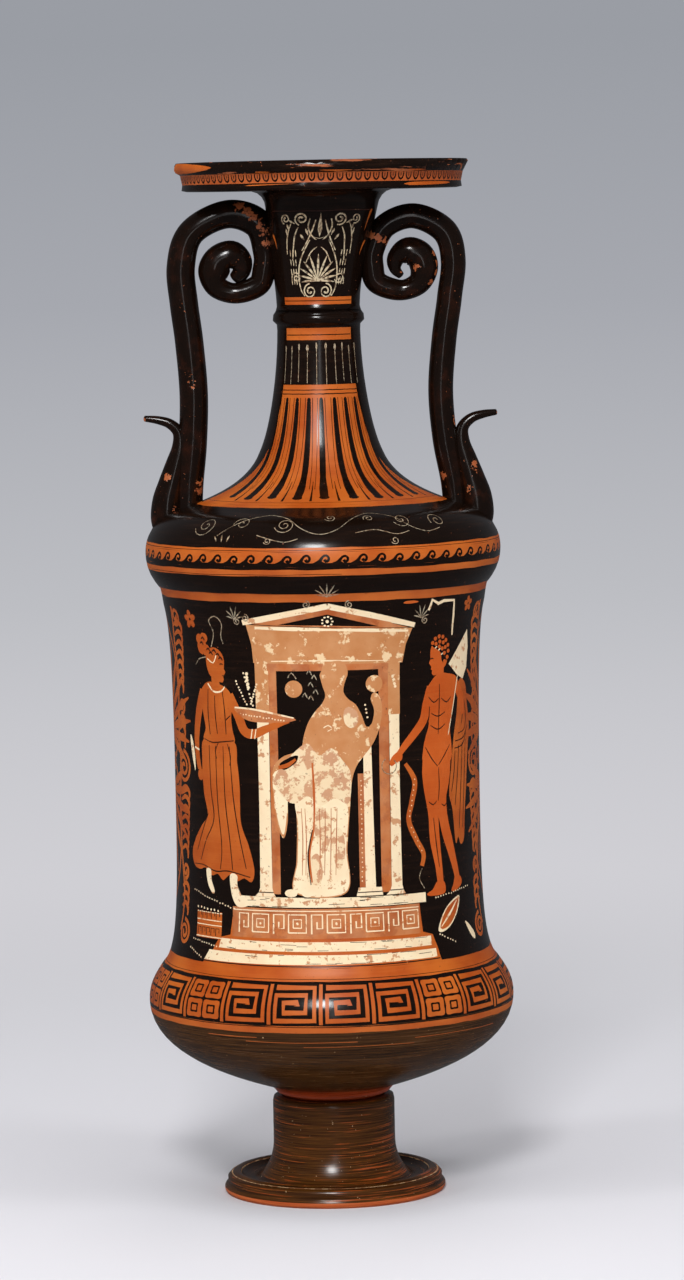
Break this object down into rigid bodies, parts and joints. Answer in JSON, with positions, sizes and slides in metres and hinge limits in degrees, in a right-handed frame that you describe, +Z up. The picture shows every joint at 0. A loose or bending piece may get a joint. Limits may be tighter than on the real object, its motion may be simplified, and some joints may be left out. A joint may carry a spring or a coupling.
{
  "type": "loutrophoros",
  "caption": "Tall ceremonial water vase, red-figure ware, with a flat dished mouth, a long neck, scroll handles with spurs, a waisted body and a separate stem foot.",
  "frame": {"origin": "centre of the foot's underside, where the vase stands", "axes": "+Z up along the turning axis; the two scroll handles lie along X; the painted front faces -Y"},
  "size_m": [0.312, 0.312, 0.88],
  "materials": {
    "vessel": "black gloss slip over orange clay, with painted bands",
    "foot": "brown brushed slip, glossy and streaked"
  },
  "bodies": {
    "root": {"vessel": "vessel", "foot": "foot"}
  },
  "joints": []
}
